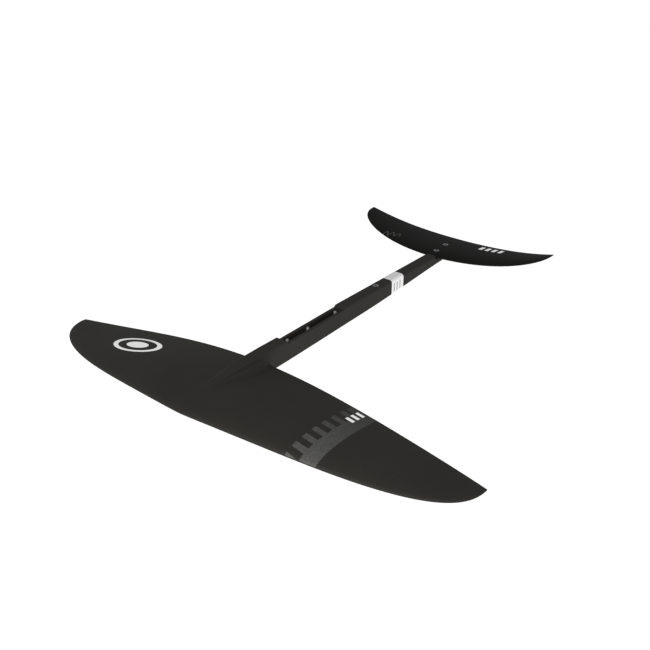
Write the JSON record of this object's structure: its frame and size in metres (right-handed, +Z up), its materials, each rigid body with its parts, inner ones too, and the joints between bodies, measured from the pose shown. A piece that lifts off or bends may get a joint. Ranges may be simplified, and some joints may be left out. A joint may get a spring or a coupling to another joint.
{
  "type": "hydrofoil wing and fuselage",
  "caption": "Carbon hydrofoil front wing moulded in one piece with its fuselage, with a grooved saddle for a mast foot and a bolted stabiliser.",
  "frame": {"origin": "axis of the middle mast screw, level with the rims that the mast foot sits on", "axes": "+X along the span, +Y aft along the fuselage, +Z up towards the mast"},
  "size_m": [0.7988, 0.7559, 0.0822],
  "materials": {
    "carbon": "satin lacquered carbon laminate",
    "carbon_tail": "satin lacquered carbon laminate, darker",
    "foam": "closed-cell foam",
    "laminate": "machined solid laminate",
    "steel": "machined stainless steel",
    "label": "printed white film",
    "pad": "thin moulded pad"
  },
  "bodies": {
    "root": {"wing_upper_skin": "carbon", "wing_lower_skin": "carbon", "wing_front_core": "foam", "wing_spar": "laminate", "wing_rear_core": "foam", "nose_fairing": "carbon", "saddle_rails": "carbon", "boom_upper_shell": "carbon", "fuselage_lower_shell": "carbon", "nose_core": "foam", "mast_block": "laminate", "boom_core": "foam", "tail_block": "laminate", "mast_screws": "steel", "mast_screw_sleeves": "steel", "top_screw": "steel", "top_insert": "steel", "label_band": "label", "stabiliser_upper_skin": "carbon_tail", "stabiliser_lower_skin": "carbon_tail", "stabiliser_core": "foam", "stabiliser_pad": "pad", "stabiliser_screws": "steel", "stabiliser_inserts": "steel"}
  },
  "joints": []
}
